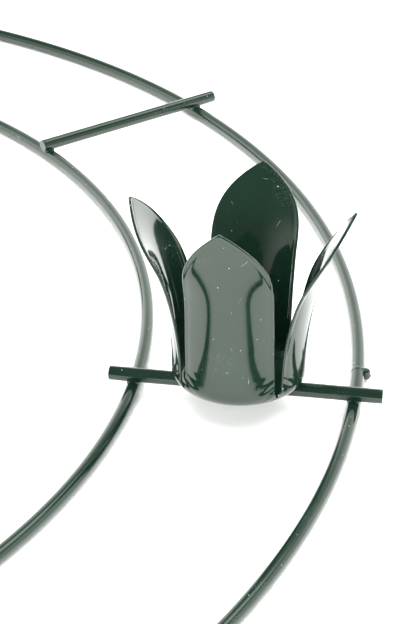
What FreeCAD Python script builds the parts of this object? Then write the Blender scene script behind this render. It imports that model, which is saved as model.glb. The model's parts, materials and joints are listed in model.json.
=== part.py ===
import FreeCAD, Part
import math
import os

from FreeCAD import Placement, Rotation, Vector

# A candle wreath frame: two concentric wire rings tied together by eight
# radial cross bars of the same wire, laid over the rings and resistance
# welded at every crossing. Every second bar carries a pressed sheet cup with
# four bent-out petals that grips a taper candle.
#
# Origin: the centre of the rings, on the plane that the rings lie on.
# +Z is up, the first cup stands on +X. Millimetres.

# ---- wire and rings -------------------------------------------------------
wire_diameter = 2.8
outer_ring_radius = 176.4          # to the centre line: 355.6 mm, 14 inches, over the wire
inner_ring_radius = 134.8          # to the centre line
crossing_set_down = 0.45           # how far welding presses a bar into a ring
weld_clear_of_flank = 0.05         # squeezed-out metal stays this far inside the wire's side
ring_joint_reach = 1.35            # how far the butt joint's flash stands off the wire
ring_joint_width = 1.6             # the flash, measured along the wire
outer_joint_angle = 3.6            # degrees round from the first cup
inner_joint_angle = 157.5

# ---- cross bars -----------------------------------------------------------
candle_count = 4
cup_bar_inner_overhang = 3.3       # past the inner edge of the inner ring
plain_bar_inner_overhang = 0.0     # a plain bar starts flush with the inner ring
bar_outer_overhang = 4.0           # past the outer edge of the outer ring

# ---- candle cups ----------------------------------------------------------
candle_diameter = 22.2             # a 7/8 inch taper
candle_clearance = 1.0             # round the candle, in the cup
cup_inset = 0.8                    # how far inside the middle of its gap a cup stands
sheet_thickness = 0.5
cup_corner_radius = 3.0            # outside, where the floor turns up
grip_wall_height = 1.8             # the straight wall above the corner
petal_count = 4
petal_length = 33.9                # along the sheet, from the corner to the tip
petal_slot_width = 1.5             # between two petals, at the corner
petal_shoulder_width = 17.5        # along the sheet, where the tip starts to narrow
petal_shoulder_height = 18.0       # along the sheet, from the corner
petal_tip_width = 0.5              # the tip is nipped off square
petal_tip_power = 2.7              # a higher power gives a blunter tip
cup_seat_depth = 0.15              # the flat that welding leaves on a bar's top

# How each cup was welded and bent by hand: the tilt about its own bar, the turn
# about its own axis, then how far each petal's tip leans out, in degrees. The
# petals go round from the outward one to the left, seen from above.
CUP_BENDS = [
    {"tilt": -3.6, "turn": -1.7, "leans": [29.9, 41.0, 31.9, 14.8]},
    {"tilt": 1.0, "turn": 2.0, "leans": [27.5, 32.0, 24.0, 29.0]},
    {"tilt": -1.5, "turn": 0.8, "leans": [33.0, 25.5, 29.5, 31.0]},
    {"tilt": 2.0, "turn": -2.4, "leans": [25.0, 29.5, 34.0, 26.5]},
]

# ---- what follows from them -----------------------------------------------
wire_radius = wire_diameter / 2
ring_height = wire_radius
bar_height = ring_height + wire_diameter - crossing_set_down
cup_seat_height = bar_height + wire_radius - cup_seat_depth
cup_station = (inner_ring_radius + outer_ring_radius) / 2 - cup_inset
cup_inner_radius = candle_diameter / 2 + candle_clearance
cup_outer_radius = cup_inner_radius + sheet_thickness
grip_wall_top = cup_corner_radius + grip_wall_height
weld_radius = wire_radius - weld_clear_of_flank
cup_bar_start = inner_ring_radius - wire_radius - cup_bar_inner_overhang
plain_bar_start = inner_ring_radius - wire_radius - plain_bar_inner_overhang
bar_end = outer_ring_radius + wire_radius + bar_outer_overhang
petal_pitch = 360 / petal_count
blank_half_angle = 0.6 * petal_pitch
petal_foot_width = 2 * math.pi * cup_outer_radius / petal_count - petal_slot_width
cup_pitch = 360 / candle_count
UP = Vector(0, 0, 1)
OUTWARD = Vector(1, 0, 0)
EDGE_STEPS = 10                    # spans of each curved stretch of a petal's edge
TRIM = 1.0                         # how far spare sheet and cutters run past an edge


def turned(shape, angle):
    """A copy of the shape, turned about the frame's centre."""
    copy = shape.copy()
    copy.rotate(Vector(0, 0, 0), UP, angle)
    return copy


def export(name, shape):
    """Write one node, after making sure that it is sound."""
    if not shape.isValid() or not shape.Solids:
        raise RuntimeError("unsound solid: " + name)
    shape.exportStep("parts/" + name + ".step")
    print(name, len(shape.Solids), "solid(s)", round(shape.Volume, 2), "mm3")


def ring(radius):
    """One wire ring, lying on the table."""
    return Part.makeTorus(radius, wire_radius, Vector(0, 0, ring_height), UP)


def straight_bar(start, end):
    """A cut length of wire over the rings, along +X."""
    return Part.makeCylinder(wire_radius, end - start, Vector(start, 0, bar_height), OUTWARD)


def crossing_weld(radius, rings, bar):
    """Metal squeezed out round the crossing of a bar and a ring."""
    post = Part.makeCylinder(weld_radius, bar_height - ring_height,
                             Vector(radius, 0, ring_height), UP)
    return post.cut(rings).cut(bar)


def ring_joint(radius, the_ring, angle):
    """Flash on the outer side of the weld that closes a ring."""
    half_width = ring_joint_width / 2
    centre = Vector(radius + wire_radius + ring_joint_reach - half_width, 0, ring_height)
    bead = Part.makeSphere(half_width, centre)
    neck = Part.makeCylinder(half_width, centre.x - radius, Vector(radius, 0, ring_height), OUTWARD)
    return turned(bead.fuse(neck).removeSplitter(), angle).cut(the_ring)


def line(*points):
    """Straight edges from point to point."""
    return [Part.LineSegment(a, b).toShape() for a, b in zip(points, points[1:])]


def corner_arc(radius):
    """A quarter turn of a cup's corner, from the floor up to the wall."""
    centre = Vector(cup_outer_radius - cup_corner_radius, 0, cup_corner_radius)
    diagonal = radius * math.sqrt(0.5)
    return Part.Arc(centre + Vector(0, 0, -radius), centre + Vector(diagonal, 0, -diagonal),
                    centre + Vector(radius, 0, 0)).toShape()


def cup_base():
    """The round floor of a cup and the corner that turns up from it."""
    floor_edge = Vector(cup_outer_radius - cup_corner_radius, 0, 0)
    up_sheet = UP * sheet_thickness
    edges = line(Vector(0, 0, 0), floor_edge)
    edges.append(corner_arc(cup_corner_radius))
    edges += line(Vector(cup_outer_radius, 0, cup_corner_radius),
                  Vector(cup_inner_radius, 0, cup_corner_radius))
    edges.append(corner_arc(cup_corner_radius - sheet_thickness))
    edges += line(floor_edge + up_sheet, up_sheet, Vector(0, 0, 0))
    return Part.Face(Part.Wire(edges)).revolve(Vector(0, 0, 0), UP, 360)


def petal_place(along, lean):
    """Radius and height of the sheet's outer face, so far along a petal."""
    bend_radius = (petal_length - grip_wall_height) / lean
    turn = max(along - grip_wall_height, 0) / bend_radius
    radius = cup_outer_radius + bend_radius * (1 - math.cos(turn))
    height = cup_corner_radius + min(along, grip_wall_height) + bend_radius * math.sin(turn)
    return radius, height


def petal_half_width(along):
    """Half the sheet's width: nearly even up to the shoulder, then a lancet tip."""
    foot = petal_foot_width / 2
    shoulder = petal_shoulder_width / 2
    tip = petal_tip_width / 2
    if along <= petal_shoulder_height:
        return foot + (shoulder - foot) * along / petal_shoulder_height
    share = (along - petal_shoulder_height) / (petal_length - petal_shoulder_height)
    return tip + (shoulder - tip) * (1 - share ** petal_tip_power)


def edge_cutter(lean, side):
    """All that lies outside one edge of a petal, so that a cut is square to the sheet."""
    square_on = petal_foot_width / 2 / cup_outer_radius

    def edge_point(along):
        radius, height = petal_place(along, lean)
        across = radius * math.sin(petal_half_width(along) / radius - square_on)
        return Vector(0, side * across, height)

    def curve(start, end):
        along = [start + (end - start) * step / EDGE_STEPS for step in range(EDGE_STEPS + 1)]
        spline = Part.BSplineCurve()
        spline.interpolate([edge_point(place) for place in along])
        return spline.toShape()

    foot = edge_point(0)
    tip = edge_point(petal_length)
    low = foot - UP * TRIM
    high = tip.z + 2 * TRIM
    past_middle = tip - Vector(0, side * 2 * TRIM, 0)
    far = side * cup_outer_radius
    edges = line(low, foot)
    edges.append(curve(0, petal_shoulder_height))
    edges.append(curve(petal_shoulder_height, petal_length))
    edges += line(tip, past_middle, Vector(0, past_middle.y, high), Vector(0, far, high),
                  Vector(0, far, low.z), low)
    cutter = Part.Face(Part.Wire(edges)).extrude(OUTWARD * (cup_outer_radius + petal_length))
    return turned(cutter, side * math.degrees(square_on))


def petal(lean):
    """One petal on +X: a straight grip wall, then an even outward curve."""
    bend_radius = (petal_length - grip_wall_height) / lean
    end = lean + TRIM / bend_radius
    bend_centre = Vector(cup_outer_radius + bend_radius, 0, grip_wall_top)

    def on_arc(radius, turn):
        return bend_centre + Vector(-radius * math.cos(turn), 0, radius * math.sin(turn))

    inner_radius = bend_radius + sheet_thickness
    inner_foot = Vector(cup_inner_radius, 0, cup_corner_radius)
    outer_foot = Vector(cup_outer_radius, 0, cup_corner_radius)
    edges = line(inner_foot, outer_foot, on_arc(bend_radius, 0))
    edges.append(Part.Arc(on_arc(bend_radius, 0), on_arc(bend_radius, end / 2),
                          on_arc(bend_radius, end)).toShape())
    edges += line(on_arc(bend_radius, end), on_arc(inner_radius, end))
    edges.append(Part.Arc(on_arc(inner_radius, end), on_arc(inner_radius, end / 2),
                          on_arc(inner_radius, 0)).toShape())
    edges += line(on_arc(inner_radius, 0), inner_foot)
    profile = turned(Part.Face(Part.Wire(edges)), -blank_half_angle)
    sheet = profile.revolve(Vector(0, 0, 0), UP, 2 * blank_half_angle)
    return sheet.cut(edge_cutter(lean, 1)).cut(edge_cutter(lean, -1))


def candle_cup(leans):
    """One pressing, in its own frame: floor at the origin, petals round it."""
    cup = cup_base()
    for number, lean in enumerate(leans):
        one = petal(math.radians(lean))
        one.rotate(Vector(0, 0, 0), UP, number * petal_pitch)
        cup = cup.fuse(one)
    return cup.removeSplitter()


def cup_placement(bend):
    """Where a cup stands on the bar along +X, as it was welded."""
    turn = Placement(Vector(0, 0, 0), Rotation(UP, bend["turn"]))
    tilt = Placement(Vector(cup_station, 0, cup_seat_height), Rotation(OUTWARD, bend["tilt"]))
    return tilt.multiply(turn)


def placed(shape, placement):
    """A copy of the shape, moved to a placement."""
    return shape.transformed(placement.toMatrix())


def cup_seat(placement):
    """The space that a cup's floor and corner take from the top of its bar."""
    edges = line(Vector(0, 0, cup_corner_radius), Vector(0, 0, 0),
                 Vector(cup_outer_radius - cup_corner_radius, 0, 0))
    edges.append(corner_arc(cup_corner_radius))
    edges += line(Vector(cup_outer_radius, 0, cup_corner_radius), Vector(0, 0, cup_corner_radius))
    return placed(Part.Face(Part.Wire(edges)).revolve(Vector(0, 0, 0), UP, 360), placement)


def cup_weld(seat, bar):
    """Metal squeezed out on both sides of a bar, under a cup's floor."""
    post = Part.makeCylinder(weld_radius, wire_radius + cup_seat_depth,
                             Vector(cup_station, 0, bar_height), UP)
    return post.cut(seat).cut(bar)


os.makedirs("parts", exist_ok=True)

# ---- rings ----------------------------------------------------------------
outer_ring = ring(outer_ring_radius)
inner_ring = ring(inner_ring_radius)
both_rings = Part.makeCompound([outer_ring, inner_ring])
export("outer_ring", outer_ring)
export("inner_ring", inner_ring)
export("outer_ring_joint", ring_joint(outer_ring_radius, outer_ring, outer_joint_angle))
export("inner_ring_joint", ring_joint(inner_ring_radius, inner_ring, inner_joint_angle))

# ---- bars, cups and their welds, one candle place after another -----------
whole_cup_bar = straight_bar(cup_bar_start, bar_end)
whole_plain_bar = straight_bar(plain_bar_start, bar_end)
saddled_cup_bar = whole_cup_bar.cut(both_rings)
saddled_plain_bar = whole_plain_bar.cut(both_rings)
outer_weld = crossing_weld(outer_ring_radius, both_rings, whole_cup_bar)
inner_weld = crossing_weld(inner_ring_radius, both_rings, whole_cup_bar)
inner_plain_weld = crossing_weld(inner_ring_radius, both_rings, whole_plain_bar)

outer_welds = []
inner_welds = []
cup_welds = []
for number in range(candle_count):
    angle = number * cup_pitch
    between = angle + cup_pitch / 2
    bend = CUP_BENDS[number % len(CUP_BENDS)]
    placement = cup_placement(bend)
    seat = cup_seat(placement)
    cup_bar = saddled_cup_bar.cut(seat)
    export("cup_bar_%d" % (number + 1), turned(cup_bar, angle))
    export("plain_bar_%d" % (number + 1), turned(saddled_plain_bar, between))
    export("candle_cup_%d" % (number + 1), turned(placed(candle_cup(bend["leans"]), placement), angle))
    outer_welds += [turned(outer_weld, angle), turned(outer_weld, between)]
    inner_welds += [turned(inner_weld, angle), turned(inner_plain_weld, between)]
    cup_welds.append(turned(cup_weld(seat, cup_bar), angle))

export("outer_crossing_welds", Part.makeCompound(outer_welds))
export("inner_crossing_welds", Part.makeCompound(inner_welds))
export("cup_welds", Part.makeCompound(cup_welds))
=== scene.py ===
import json
import math
import random

import bmesh
import bpy
from mathutils import Matrix, Vector, noise


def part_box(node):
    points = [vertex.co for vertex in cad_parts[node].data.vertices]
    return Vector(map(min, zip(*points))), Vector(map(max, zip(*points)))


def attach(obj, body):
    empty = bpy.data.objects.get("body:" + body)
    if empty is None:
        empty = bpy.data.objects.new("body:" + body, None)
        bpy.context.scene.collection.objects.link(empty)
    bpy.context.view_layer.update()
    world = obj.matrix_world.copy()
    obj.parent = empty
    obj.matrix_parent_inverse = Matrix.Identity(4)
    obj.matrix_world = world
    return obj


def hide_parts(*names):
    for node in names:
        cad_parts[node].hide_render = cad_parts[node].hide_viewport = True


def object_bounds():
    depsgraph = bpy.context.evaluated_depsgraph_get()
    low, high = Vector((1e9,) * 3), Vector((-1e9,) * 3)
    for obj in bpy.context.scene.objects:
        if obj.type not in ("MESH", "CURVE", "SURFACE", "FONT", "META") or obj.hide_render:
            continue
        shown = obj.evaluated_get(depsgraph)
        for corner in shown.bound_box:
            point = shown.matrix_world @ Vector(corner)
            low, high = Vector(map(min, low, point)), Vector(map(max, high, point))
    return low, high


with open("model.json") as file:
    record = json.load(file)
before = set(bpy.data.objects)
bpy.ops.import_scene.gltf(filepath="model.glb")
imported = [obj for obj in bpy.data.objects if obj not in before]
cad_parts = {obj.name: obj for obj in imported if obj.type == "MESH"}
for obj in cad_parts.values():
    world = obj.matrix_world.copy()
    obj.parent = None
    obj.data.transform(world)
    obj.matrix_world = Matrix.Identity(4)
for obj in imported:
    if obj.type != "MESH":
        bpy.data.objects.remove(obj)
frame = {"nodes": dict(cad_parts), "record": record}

cad_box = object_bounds()
MM = 0.001

# ---- wire rings ------------------------------------------------------------
# Two hoops of round mild-steel wire, rolled and butt welded, that lie on the
# table. The whole frame is dipped in dark green stoving enamel after welding,
# so the coat flows over every piece and dries with a slightly wavy gloss.

wire_radius = (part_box("outer_ring")[1].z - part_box("outer_ring")[0].z) / 2
ring_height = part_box("outer_ring")[0].z + wire_radius
ring_radii = {name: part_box(name)[1].x - wire_radius for name in ("outer_ring", "inner_ring")}
ring_stations = 900
wire_sides = 32
ring_out_of_round = 0.12 * MM
enamel_wave = 0.008 * MM

ENAMEL_GREEN = (0.0036, 0.0135, 0.0082, 1)
ENAMEL_THIN = (0.0050, 0.0172, 0.0108, 1)
DUST_GREY = (0.34, 0.38, 0.34, 1)
SCRATCH_GREY = (0.30, 0.35, 0.31, 1)


class Shade:
    """One output of a shader node, so that shader maths reads as plain expressions."""

    def __init__(self, tree, socket=None):
        self.tree = tree
        self.socket = socket

    def node(self, kind, settings, sockets, output=0):
        """Add a node: its settings first, then the values or links of its sockets."""
        made = self.tree.nodes.new("ShaderNode" + kind)
        for key, value in settings.items():
            setattr(made, key, value)
        for key, value in sockets.items():
            if isinstance(value, Shade):
                self.tree.links.new(value.socket, made.inputs[key])
            else:
                made.inputs[key].default_value = value
        return Shade(self.tree, made.outputs[output] if made.outputs else None)

    def maths(self, operation, *values):
        return self.node("Math", {"operation": operation}, dict(enumerate(values)))

    def __add__(self, other):
        return self.maths("ADD", self, other)

    def __sub__(self, other):
        return self.maths("SUBTRACT", self, other)

    def __rsub__(self, other):
        return self.maths("SUBTRACT", other, self)

    def __mul__(self, other):
        return self.maths("MULTIPLY", self, other)

    def __abs__(self):
        return self.maths("ABSOLUTE", self)

    __radd__ = __add__
    __rmul__ = __mul__

    def ramp(self, low, high):
        """0 below low, 1 above high, smooth between."""
        return self.node("MapRange", {"interpolation_type": "SMOOTHSTEP"},
                         {"Value": self, "From Min": low, "From Max": high})

    def cloud(self, per_mm, detail=2.0):
        """Soft noise from this place, with so many lumps to the millimetre."""
        return self.node("TexNoise", {}, {"Vector": self, "Scale": per_mm, "Detail": detail})

    def mix(self, mask, other):
        """This colour, giving way to the other one where the mask is 1."""
        return self.node("Mix", {"data_type": "RGBA"}, {0: mask, 6: self, 7: other}, 2)


def green_enamel(name, gloss, peel, specks, scratches):
    """Stoved gloss enamel: a dark green that runs a little paler in broad random patches, with orange
    peel, dust that settled while it was wet, and fine handling scratches."""
    material = bpy.data.materials.new(name)
    material.use_nodes = True
    material.node_tree.nodes.clear()
    start = Shade(material.node_tree)
    place = start.node("TexCoord", {}, {}, "Object")
    mm = place.node("VectorMath", {"operation": "SCALE"}, {0: place, "Scale": 1 / MM})

    drift = mm.cloud(0.06).ramp(0.35, 0.7)
    green = start.node("RGB", {}, {})
    green.socket.default_value = ENAMEL_GREEN
    colour = green.mix(drift, ENAMEL_THIN)

    grain = mm.node("TexVoronoi", {}, {"Vector": mm, "Scale": 0.55}, "Distance")
    size = mm.cloud(0.3, 0.0) * 0.105
    speck = (size - grain).ramp(0.0, 0.02) * specks
    path = mm.cloud(0.10, 0.0)
    where = mm.cloud(0.40, 0.0).ramp(0.70, 0.76)
    scratch = (1 - abs(path - 0.5).ramp(0.0, 0.0014)) * where * scratches
    wear = mm.cloud(5.0, 2.0).ramp(0.60, 0.68) * mm.cloud(0.13, 0.0).ramp(0.60, 0.70) * 0.15
    colour = colour.mix(speck, DUST_GREY).mix(scratch, SCRATCH_GREY).mix(wear, SCRATCH_GREY)

    smear = mm.cloud(0.11, 3.0)
    roughness = gloss + smear * 0.07 + speck * 0.35 + scratch * 0.3 + wear * 0.4

    ripple = mm.cloud(0.55, 1.0) * peel + mm.cloud(2.0, 1.0) * 0.16
    height = ripple + speck * 0.7 - scratch * 0.25
    bump = start.node("Bump", {}, {"Height": height, "Distance": 0.02 * MM, "Strength": 0.6})
    coat = start.node("BsdfPrincipled", {},
                      {"Base Color": colour, "Roughness": roughness, "Normal": bump,
                       "IOR": 1.48, "Coat Weight": 0.33, "Coat Roughness": 0.03,
                       "Specular Tint": (0.94, 1.0, 0.86, 1)})
    start.node("OutputMaterial", {}, {"Surface": coat})
    return material


def skin(name, rows, closed):
    """A smooth mesh through rows of points, each row a closed loop. Open ends are capped."""
    count = len(rows[0])
    points = [point for row in rows for point in row]
    faces = []
    for row in range(len(rows) if closed else len(rows) - 1):
        below = row * count
        above = (row + 1) % len(rows) * count
        for side in range(count):
            beside = (side + 1) % count
            faces.append((below + side, below + beside, above + beside, above + side))
    if not closed:
        faces.append(tuple(reversed(range(count))))
        faces.append(tuple(range(len(points) - count, len(points))))
    mesh = bpy.data.meshes.new(name)
    mesh.from_pydata([tuple(point) for point in points], [], faces)
    mesh.shade_smooth()
    piece = bpy.data.objects.new(name, mesh)
    bpy.context.scene.collection.objects.link(piece)
    return piece


def radial(angle):
    """The level direction at an angle round the frame, in radians."""
    return Vector((math.cos(angle), math.sin(angle), 0))


def coat_wave(point):
    """How far the enamel has run thick or thin at a place."""
    return enamel_wave * noise.noise(point / (4.0 * MM))


def ring_loop(radius, angle):
    """One loop of points round the wire of a ring."""
    outward = radial(angle)
    bend = ring_out_of_round * noise.noise(outward * 2.5 * radius / ring_radii["inner_ring"])
    centre = outward * (radius + bend)
    loop = []
    for side in range(wire_sides):
        turn = side / wire_sides * math.tau
        away = outward * math.cos(turn) + Vector((0, 0, math.sin(turn)))
        reach = wire_radius - enamel_wave + coat_wave(centre + away * wire_radius)
        loop.append(centre + Vector((0, 0, ring_height)) + away * reach)
    return loop


wire_enamel = green_enamel("wire_enamel", 0.10, 0.35, 1.0, 0.7)
for name, radius in ring_radii.items():
    loops = [ring_loop(radius, step / ring_stations * math.tau) for step in range(ring_stations)]
    hoop = skin(name + "_wire", loops, True)
    hoop.data.materials.append(wire_enamel)
    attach(hoop, "root")
    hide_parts(name)

# ---- ring joints -----------------------------------------------------------
# Where the two ends of a ring were pushed together and butt welded, metal was
# squeezed out: a thin collar round the wire and a snipped nub on its outer side.

joint_width = 2.0 * MM
collar_height = 0.03 * MM
nub_spread = math.radians(38)
nub_share = 0.8
flash_rag = 0.45
flash_skirt = 0.15 * MM
flash_root = 0.35 * MM
joint_sides = 48
joint_profile = 12


def joint_loop(radius, angle, nub_height, turn):
    """The flash's cross section at one place round the wire: over the top, back inside it."""
    outward = radial(angle)
    along = radial(angle + math.pi / 2)
    centre = outward * radius + Vector((0, 0, ring_height))
    away = outward * math.cos(turn) + Vector((0, 0, math.sin(turn)))
    swing = math.remainder(turn, math.tau) / nub_spread
    height = collar_height + nub_height * math.exp(-swing ** 4)
    loop = []
    for step in range(joint_profile):
        share = step / (joint_profile - 1)
        across = (2 * share - 1) * joint_width / 2
        bulge = math.sin(share * math.pi) ** 0.6
        rag = 1 + flash_rag * noise.noise(Vector((across * 1400, turn * 2.2, angle * 9)))
        lift = (height * rag + flash_skirt) * bulge - flash_skirt
        point = centre + along * across + away * (wire_radius + lift)
        point.z = max(point.z, cad_box[0].z)
        loop.append(point)
    loop.append(centre + away * (wire_radius - flash_root))
    return loop


for name, radius in ring_radii.items():
    node = name + "_joint"
    low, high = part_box(node)
    middle = (low + high) / 2
    angle = math.atan2(middle.y, middle.x)
    outward = radial(angle)
    tip = max(vertex.co.dot(outward) for vertex in frame["nodes"][node].data.vertices)
    nub_height = (tip - radius - wire_radius) * nub_share - collar_height
    turns = [step / joint_sides * math.tau for step in range(joint_sides)]
    loops = [joint_loop(radius, angle, nub_height, turn) for turn in turns]
    flash = skin(node + "_flash", loops, True)
    flash.data.materials.append(wire_enamel)
    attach(flash, "root")
    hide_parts(node)

# ---- cross bars ------------------------------------------------------------
# Straight lengths of the same wire, sheared square and laid over both rings.
# Resistance welding sinks each one into the rings and flattens its top under
# a cup. The shears leave a rolled rim and a slightly stepped end face.

bar_names = {"cup_bar_%d": 0, "plain_bar_%d": 0.5}
cup_count = sum(1 for name in frame["nodes"] if name.startswith("candle_cup_"))
cup_pitch = math.tau / cup_count
bar_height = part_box("plain_bar_1")[1].z - wire_radius
bar_step = 0.4 * MM
rim_radius = 0.20 * MM
shear_step = 0.10 * MM
face_dish = 0.02 * MM
press_gap = 0.01 * MM
corner_radius = 3.0 * MM
sheet_thickness = 0.5 * MM
mounts = {mount["name"]: mount for mount in frame["record"]["mounts"]}
cup_radius = mounts["candle_cup_1_grip"]["dims"]["r_mm"] * MM + sheet_thickness


def cup_place(number):
    """Where a cup stands: its frame's matrix, with the floor's underside at the origin."""
    seat = mounts["candle_cup_%d_floor" % number]
    axis = Vector(seat["axis"])
    along_bar = radial((number - 1) * cup_pitch)
    across_bar = axis.cross(along_bar)
    turned = Matrix((along_bar, across_bar, axis)).transposed().to_4x4()
    return Matrix.Translation(Vector(seat["pos_m"]) - axis * sheet_thickness) @ turned


def pressed_by_ring(point):
    """A point of a bar, lifted out of the ring that it was pressed into."""
    for radius in ring_radii.values():
        aside = math.hypot(point.x, point.y) - radius
        if abs(aside) < wire_radius:
            top = ring_height + math.sqrt(wire_radius ** 2 - aside ** 2)
            point.z = max(point.z, top - press_gap)
    return point


def pressed_by_cup(point, place, back):
    """A point of a bar, brought down under the floor and corner of its cup."""
    local = back @ point
    aside = math.hypot(local.x, local.y)
    past_floor = aside - (cup_radius - corner_radius)
    if past_floor >= corner_radius:
        return point
    floor = press_gap
    if past_floor > 0:
        floor += corner_radius - math.sqrt(corner_radius ** 2 - past_floor ** 2)
    local.z = min(local.z, floor)
    return place @ local


def bar_loop(direction, distance, radius):
    """One loop of points round a bar, so far out from the frame's centre."""
    across = Vector((-direction.y, direction.x, 0))
    centre = direction * distance + Vector((0, 0, bar_height))
    loop = []
    for side in range(wire_sides):
        turn = side / wire_sides * math.tau
        away = across * math.cos(turn) + Vector((0, 0, math.sin(turn)))
        loop.append(centre + away * (radius - enamel_wave + coat_wave(centre + away * radius)))
    return loop


def sheared_end(direction, end, inward):
    """Loops over a sheared end, from the rim to the middle of the face."""
    loops = []
    for step in range(5):
        turn = step / 4 * math.pi / 2
        distance = end + inward * rim_radius * (1 - math.sin(turn))
        loops.append(bar_loop(direction, distance, wire_radius - rim_radius * (1 - math.cos(turn))))
    for share in (0.75, 0.5, 0.25, 0.06):
        loop = bar_loop(direction, end, (wire_radius - rim_radius) * share)
        torn = [shear_step * max(0.0, (bar_height - point.z) / wire_radius) for point in loop]
        loops.append([point + direction * inward * (depth + face_dish * (1 - share))
                      for point, depth in zip(loop, torn)])
    return loops


for pattern, offset in bar_names.items():
    for number in range(1, cup_count + 1):
        node = pattern % number
        direction = radial((number - 1 + offset) * cup_pitch)
        along = [vertex.co.dot(direction) for vertex in frame["nodes"][node].data.vertices]
        start, end = min(along), max(along)
        steps = round((end - start - 2 * rim_radius) / bar_step)
        first = sheared_end(direction, start, 1)
        last = sheared_end(direction, end, -1)
        span = end - start - 2 * rim_radius
        body = [bar_loop(direction, start + rim_radius + span * step / steps, wire_radius)
                for step in range(1, steps)]
        loops = first[::-1] + body + last
        loops = [[pressed_by_ring(point) for point in loop] for loop in loops]
        if pattern.startswith("cup"):
            place = cup_place(number)
            back = place.inverted()
            loops = [[pressed_by_cup(point, place, back) for point in loop] for loop in loops]
        bar = skin(node + "_wire", loops, False)
        bar.data.materials.append(wire_enamel)
        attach(bar, "root")
        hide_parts(node)

# ---- crossing welds --------------------------------------------------------
# Metal and enamel that fill the corners where a bar crosses a ring: a slumped
# bead between the two wires, widest in the four corners of the crossing.

bead_reach = 1.25 * MM
bead_corner = 0.30 * MM
bead_half_height = 1.05 * MM
bead_sides = 40
bead_rows = 13


def bead_loops(centre, direction, reach, corner, half_height):
    """Loops up a slumped bead that stands on the line where two wires cross."""
    across = Vector((-direction.y, direction.x, 0))
    loops = []
    for row in range(1, bead_rows):
        rise = (row / bead_rows - 0.5) * math.pi
        loop = []
        for side in range(bead_sides):
            turn = side / bead_sides * math.tau
            out = reach + corner * math.sin(2 * turn) ** 2
            out *= 1 + 0.08 * noise.noise(centre * 300 + Vector((turn, rise, 0)) * 1.5)
            level = direction * math.cos(turn) + across * math.sin(turn)
            loop.append(centre + level * out * math.cos(rise) ** 0.8
                        + Vector((0, 0, half_height * math.sin(rise))))
        loops.append(loop)
    return loops


def joined(name, groups):
    """One piece from several separate beads."""
    beads = [skin(name + "_part", loops, False) for loops in groups]
    with bpy.context.temp_override(active_object=beads[0], selected_editable_objects=beads):
        bpy.ops.object.join()
    beads[0].name = name
    beads[0].data.name = name
    return beads[0]


weld_height = (ring_height + bar_height) / 2
for node, radius in (("outer_crossing_welds", ring_radii["outer_ring"]),
                     ("inner_crossing_welds", ring_radii["inner_ring"])):
    groups = []
    for crossing in range(2 * cup_count):
        direction = radial(crossing * cup_pitch / 2)
        start = direction * radius + Vector((0, 0, weld_height))
        groups.append(bead_loops(start, direction, bead_reach, bead_corner, bead_half_height))
    welds = joined(node + "_beads", groups)
    welds.data.materials.append(wire_enamel)
    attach(welds, "root")
    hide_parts(node)

# ---- candle cups -----------------------------------------------------------
# One pressing of 0.5 mm steel sheet: a floor, a corner that turns up and four
# lancet petals parted by V slots, with creases gathered beside each slot's end.
# The petals were bent out by hand, and the enamel dried with a fat edge on them.

petal_count = 4
grip_wall_height = 1.8 * MM
petal_length = 33.9 * MM
petal_shoulder_width = 17.5 * MM
petal_shoulder_height = 18.0 * MM
petal_tip_width = 0.5 * MM
petal_tip_power = 2.7
petal_slot_width = 1.5 * MM
slot_tail = 1.6 * MM
CUP_BENDS = [
    {"turn": -1.7, "leans": [29.9, 41.0, 31.9, 14.8], "opened": [4, 2, 5, 0],
     "tips": [(0.0, 0.0), (0.0, 0.1), (-0.3, 0.75), (-1.0, 0.2)]},
    {"turn": 2.0, "leans": [27.5, 32.0, 24.0, 29.0], "opened": [2, 0, 1, 3],
     "tips": [(0.4, 0.3), (-0.5, 0.1), (0.2, 0.5), (-0.3, 0.2)]},
    {"turn": 0.8, "leans": [33.0, 25.5, 29.5, 31.0], "opened": [0, 3, 2, 1],
     "tips": [(-0.6, 0.2), (0.3, 0.4), (0.5, 0.1), (0.0, 0.3)]},
    {"turn": -2.4, "leans": [25.0, 29.5, 34.0, 26.5], "opened": [3, 1, 0, 2],
     "tips": [(0.2, 0.4), (-0.4, 0.2), (-0.2, 0.1), (0.6, 0.3)]},
]
# How the sheet's curve has opened on the left and right of a petal: how much all the
# way up, where it begins to flatten (mm up), by how much at the tip, and how suddenly.
OPENINGS = [
    ((1.08, 15.4, 10.1, 3.5), (0.92, 18.0, 5.0, 3.1)),
    ((0.97, 14.0, 6.0, 2.9), (1.04, 16.0, 7.5, 3.2)),
    ((1.03, 16.5, 7.0, 3.0), (0.95, 15.0, 6.0, 3.3)),
    ((0.95, 15.5, 8.0, 3.3), (1.05, 17.0, 6.5, 3.0)),
    ((0.97, 14.0, 6.0, 2.9), (1.06, 14.5, 9.5, 2.9)),
    ((0.97, 15.0, 9.5, 3.2), (1.05, 17.0, 6.5, 3.0)),
]
edge_rounding = 0.23 * MM
fat_edge_height = 0.035 * MM
fat_edge_trough = 0.030 * MM
crease_height = 0.042 * MM
crease_spacing = 1.35 * MM
crease_slope = math.radians(38)
crease_reach = 2.8 * MM
crease_rise = 3.0 * MM
crease_inset = 0.9 * MM
crease_drop = 0.4 * MM
crease_phase = 0.6
hand_wave_length = 11 * MM
hand_wave = 0.05 * MM
columns_each_side = 28
corner_rows = 24
petal_rows = 96
rim_points = 5

quarter = math.tau / petal_count / 2
corner_length = corner_radius * math.pi / 2
petal_foot_width = 2 * quarter * cup_radius - petal_slot_width
floor_stops = [0.0, 0.12, 0.25, 0.40, 0.55, 0.68, 0.80, 0.90, 0.96]


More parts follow.
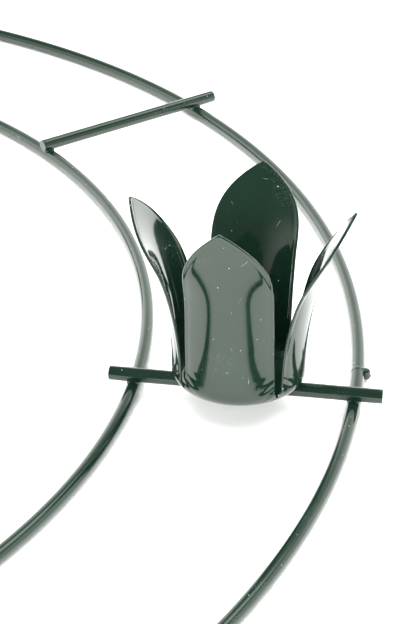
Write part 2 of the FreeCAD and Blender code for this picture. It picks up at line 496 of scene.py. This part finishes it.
def sheet_place(along, lean):
    """Radius and height of the sheet's outer face and its outward slope, so far up from the
    corner's top. Below it the sheet is the corner, then the floor."""
    flat = cup_radius - corner_radius
    if along < -corner_length:
        return flat + along + corner_length, 0.0, (0.0, -1.0)
    if along < 0:
        turn = -along / corner_radius
        slope = (math.cos(turn), -math.sin(turn))
        return flat + corner_radius * slope[0], corner_radius * (1 + slope[1]), slope
    bend_radius = (petal_length - grip_wall_height) / lean
    turn = max(along - grip_wall_height, 0) / bend_radius
    radius = cup_radius + bend_radius * (1 - math.cos(turn))
    height = corner_radius + min(along, grip_wall_height) + bend_radius * math.sin(turn)
    return radius, height, (math.cos(turn), -math.sin(turn))


def half_width(along):
    """Half a petal's width along the sheet: nearly even to the shoulder, then a lancet."""
    foot = petal_foot_width / 2
    shoulder = petal_shoulder_width / 2
    if along <= petal_shoulder_height:
        return foot + (shoulder - foot) * along / petal_shoulder_height
    share = (along - petal_shoulder_height) / (petal_length - petal_shoulder_height)
    tip = petal_tip_width / 2
    return tip + (shoulder - tip) * (1 - share ** petal_tip_power)


def slot_gap(along):
    """Half the slot between two petals: it runs out in a point inside the corner."""
    return petal_slot_width / 2 * min(max(1 + along / slot_tail, 0), 1) ** 0.8


def hump(distance, spread):
    """A smooth bump, 1 at no distance."""
    return math.exp(-(distance / spread) ** 2)


def crease(along, inset):
    """How far the pressing has pushed the sheet out or in beside the end of a slot."""
    across_creases = along * math.cos(crease_slope) + inset * math.sin(crease_slope)
    fan = crease_spacing * (1 + 0.06 * inset / MM)
    ridges = math.cos(across_creases / fan * math.tau + crease_phase)
    fade = hump(inset - crease_inset, crease_reach) * hump(along + crease_drop, crease_rise)
    return crease_height * ridges * fade


def section_radius(radius, along, opening):
    """Radius of a petal's cross-section: the cup's own low down, far flatter near the tip,
    where bending it out by hand has opened the sheet."""
    base, start, gain, power = opening
    spread = min(max((along - grip_wall_height) / (8 * MM), 0), 1)
    spread = spread * spread * (3 - 2 * spread)
    share = min(max((along - start * MM) / (petal_length - start * MM), 0), 1)
    return radius * (1 + (base - 1) * spread + gain * share ** power)


def petal_columns():
    """Places across a petal from -1 to 1, closer together near its edges."""
    half = [1 - (1 - step / columns_each_side) ** 1.7 for step in range(columns_each_side + 1)]
    return [-place for place in half[::-1]] + half[1:]


def petal_grid(lean, opening, tip, seed):
    """The outer face, inner face and rounded edges of one petal and its share of the base."""
    chance = random.Random(seed)
    drift = Vector((chance.uniform(0, 90), chance.uniform(0, 90), chance.uniform(0, 90)))
    floor_length = cup_radius - corner_radius
    alongs = [-corner_length - floor_length * (1 - stop) for stop in floor_stops]
    alongs += [-corner_length * (1 - step / corner_rows) for step in range(corner_rows)]
    alongs += [petal_length * (step / petal_rows) ** 1.35 for step in range(petal_rows + 1)]
    columns = petal_columns()
    rows = []
    for along in alongs:
        rise = max(along / petal_length, 0)
        aside = tip[0] * MM * rise ** 5
        radius, height, slope = sheet_place(along - tip[1] * MM * rise ** 5, lean)
        if along >= 0:
            half = half_width(along)
        else:
            half = (quarter * cup_radius - slot_gap(along)) * radius / cup_radius
        open_edge = min(max(slot_gap(along) / (0.3 * MM), 0), 1)
        rounding = min(edge_rounding, 0.8 * half) * open_edge

        def point(sideways, inset, depth, bead):
            """A point of the sheet: how far across, in from the edge, and down into it."""
            section = max(section_radius(radius, along, opening[sideways > 0]), 1e-7)
            angle = sideways / section
            wave = hand_wave * rise
            wave *= noise.noise(Vector((sideways, along, 0)) / hand_wave_length + drift)
            lift = crease(along, max(inset, 0)) + wave + bead - depth
            if along < -corner_length:
                lift = -depth
            far = section + slope[0] * lift
            return Vector((radius - section + far * math.cos(angle),
                           far * math.sin(angle) + aside, height + slope[1] * lift))

        faces = []
        for column in columns:
            sideways = column * (half - rounding)
            inset = half - abs(sideways)
            bead = fat_edge_height * hump(inset - 0.30 * MM, 0.22 * MM)
            bead -= fat_edge_trough * hump(inset - 0.95 * MM, 0.32 * MM)
            faces.append((sideways, inset, bead * open_edge))
        outer = [point(sideways, inset, 0, bead) for sideways, inset, bead in faces]
        inner = [point(sideways, inset, sheet_thickness, -bead) for sideways, inset, bead in faces]
        rims = []
        for side in (1, -1):
            rim = []
            for step in range(1, rim_points + 1):
                turn = step / (rim_points + 1) * math.pi
                sideways = side * (half - rounding + rounding * math.sin(turn))
                depth = sheet_thickness / 2 * (1 - math.cos(turn))
                rim.append(point(sideways, half - abs(sideways), depth, 0))
            rims.append(rim)
        loop = outer + rims[0] + inner[::-1] + rims[1][::-1]
        rows.append((along, loop, len(columns)))
    return rows


def petal_mesh(build, rows, turn):
    """Add one petal's faces: the two sides all the way, the edges where the slot is open."""
    swing = Matrix.Rotation(turn, 3, "Z")
    made = [[build.verts.new(swing @ point) for point in loop] for along, loop, width in rows]
    width = rows[0][2]
    count = len(rows[0][1])
    edge_sides = set(range(width - 1, width + rim_points))
    edge_sides |= set(range(2 * width + rim_points - 1, count))
    for row in range(len(rows) - 1):
        shut = slot_gap(rows[row][0]) == 0 and slot_gap(rows[row + 1][0]) == 0
        for side in range(count):
            if shut and side in edge_sides:
                continue
            beside = (side + 1) % count
            build.faces.new((made[row][side], made[row][beside],
                             made[row + 1][beside], made[row + 1][side]))
    build.faces.new(made[-1])
    shut_rows = [row for row in range(len(rows)) if slot_gap(rows[row][0]) == 0]
    for row in shut_rows:
        for side in edge_sides:
            vertex = made[row][side]
            if not vertex.link_faces:
                build.verts.remove(vertex)


sheet_enamel = green_enamel("sheet_enamel", 0.055, 0.30, 1.0, 1.0)
for number in range(1, cup_count + 1):
    bend = CUP_BENDS[number - 1]
    build = bmesh.new()
    for petal, lean in enumerate(bend["leans"]):
        opening = OPENINGS[bend["opened"][petal]]
        rows = petal_grid(math.radians(lean), opening, bend["tips"][petal], 10 * number + petal)
        petal_mesh(build, rows, math.radians(bend["turn"]) + petal * math.tau / petal_count)
    bmesh.ops.remove_doubles(build, verts=build.verts[:], dist=0.004 * MM)
    bmesh.ops.recalc_face_normals(build, faces=build.faces[:])
    build.transform(cup_place(number))
    for vertex in build.verts:
        vertex.co.z = min(vertex.co.z, cad_box[1].z)
    name = "candle_cup_%d" % number
    mesh = bpy.data.meshes.new(name + "_sheet")
    build.to_mesh(mesh)
    build.free()
    mesh.shade_smooth()
    cup = bpy.data.objects.new(name + "_sheet", mesh)
    bpy.context.scene.collection.objects.link(cup)
    cup.data.materials.append(sheet_enamel)
    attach(cup, "root")
    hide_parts(name)

# ---- cup welds -------------------------------------------------------------
# The bead of metal and enamel between a cup's floor and the bar that it sits
# on, showing as a small fillet on each side of the bar.

cup_bead_reach = 1.55 * MM
cup_bead_half_height = 0.95 * MM
cup_bead_sink = 0.75
groups = []
for number in range(1, cup_count + 1):
    place = cup_place(number)
    direction = radial((number - 1) * cup_pitch)
    under = place.translation - Vector((0, 0, cup_bead_sink * cup_bead_half_height))
    groups.append(bead_loops(under, direction, cup_bead_reach, 0, cup_bead_half_height))
cup_beads = joined("cup_welds_beads", groups)
cup_beads.data.materials.append(wire_enamel)
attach(cup_beads, "root")
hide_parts("cup_welds")

# ---- table, light and camera -----------------------------------------------
# A plain white table, soft lights overhead and in front that reflections don't
# show, a room whose uneven glow the enamel mirrors, and a camera that looks
# down at the first cup from the front.


def plain_white():
    """A matt white table top with a faint, uneven tooth."""
    material = bpy.data.materials.new("white_table")
    material.use_nodes = True
    material.node_tree.nodes.clear()
    start = Shade(material.node_tree)
    place = start.node("TexCoord", {}, {}, "Object")
    white = start.node("RGB", {}, {})
    white.socket.default_value = (0.93, 0.93, 0.92, 1)
    colour = white.mix(place.cloud(9.0).ramp(0.3, 0.7), (0.95, 0.95, 0.945, 1))
    matt = start.node("BsdfPrincipled", {}, {"Base Color": colour, "Roughness": 0.85})
    start.node("OutputMaterial", {}, {"Surface": matt})
    return material


table_size = 3.0
mesh = bpy.data.meshes.new("table")
half = table_size / 2
mesh.from_pydata([(-half, -half, 0), (half, -half, 0), (half, half, 0), (-half, half, 0)],
                 [], [(0, 1, 2, 3)])
table = bpy.data.objects.new("table", mesh)
table.location.z = cad_box[0].z - 0.05 * MM
bpy.context.scene.collection.objects.link(table)
table.data.materials.append(plain_white())


def soft_light(name, place, aim, size, watts):
    """A square soft light that faces a place."""
    light = bpy.data.lights.new(name, "AREA")
    light.shape = "RECTANGLE"
    light.size, light.size_y = size
    light.energy = watts
    holder = bpy.data.objects.new(name, light)
    holder.location = place
    holder.rotation_euler = (Vector(aim) - Vector(place)).to_track_quat("-Z", "Y").to_euler()
    holder.visible_glossy = False
    bpy.context.scene.collection.objects.link(holder)


stand = Vector((0.1556, 0, 0))
soft_light("overhead_light", stand + Vector((0.05, 0.20, 1.1)), stand, (1.9, 1.7), 44)
soft_light("front_fill", stand + Vector((0.10, -1.1, 0.42)), stand, (2.6, 0.8), 36)

room_glow = 0.22
sweep_glow = 1.75
window_glow = 0.9
lamp_glow = 3.2
world = bpy.data.worlds.new("studio")
world.use_nodes = True
world.node_tree.nodes.clear()
room = Shade(world.node_tree)
around = room.node("TexCoord", {}, {}, "Generated")
height = around.node("SeparateXYZ", {}, {0: around}, "Z")
depth = around.node("SeparateXYZ", {}, {0: around}, "Y")
sweep = (1 - height.ramp(0.35, 0.75)) * (depth + 0.25).ramp(-0.35, 0.35)
side = around.node("SeparateXYZ", {}, {0: around}, "X")
window = (0 - side).ramp(0.25, 0.75) * height.ramp(-0.05, 0.15) * (1 - height.ramp(0.55, 0.80))
panel = around.node("VectorMath", {"operation": "DISTANCE"}, {0: around, 1: (0.28, 0.45, 0.85)},
                    "Value")
lamp = 1 - panel.ramp(0.20, 0.36)
shine = room_glow + sweep * sweep_glow + window * window_glow + lamp * lamp_glow
grey = room.node("Background", {}, {"Color": (0.97, 1.0, 0.98, 1), "Strength": shine})
room.node("OutputWorld", {}, {"Surface": grey})
bpy.context.scene.world = world
bpy.context.scene.view_settings.view_transform = "Standard"

camera_place = Vector((0.2008, -0.3086, 0.2016))
camera_yaw = -0.1663
camera_pitch = 0.5288
camera_roll = -0.0013
camera_lens = 114.0

look = Vector((math.sin(camera_yaw) * math.cos(camera_pitch),
               math.cos(camera_yaw) * math.cos(camera_pitch), -math.sin(camera_pitch)))
level = look.cross(Vector((0, 0, 1))).normalized()
upright = level.cross(look)
right = level * math.cos(camera_roll) + upright * math.sin(camera_roll)
up = upright * math.cos(camera_roll) - level * math.sin(camera_roll)
lens = bpy.data.cameras.new("camera")
lens.lens = camera_lens
lens.clip_start = 0.01
camera = bpy.data.objects.new("camera", lens)
camera.matrix_world = Matrix.Translation(camera_place) @ Matrix((right, up, -look)).transposed().to_4x4()
bpy.context.scene.collection.objects.link(camera)
bpy.context.scene.camera = camera
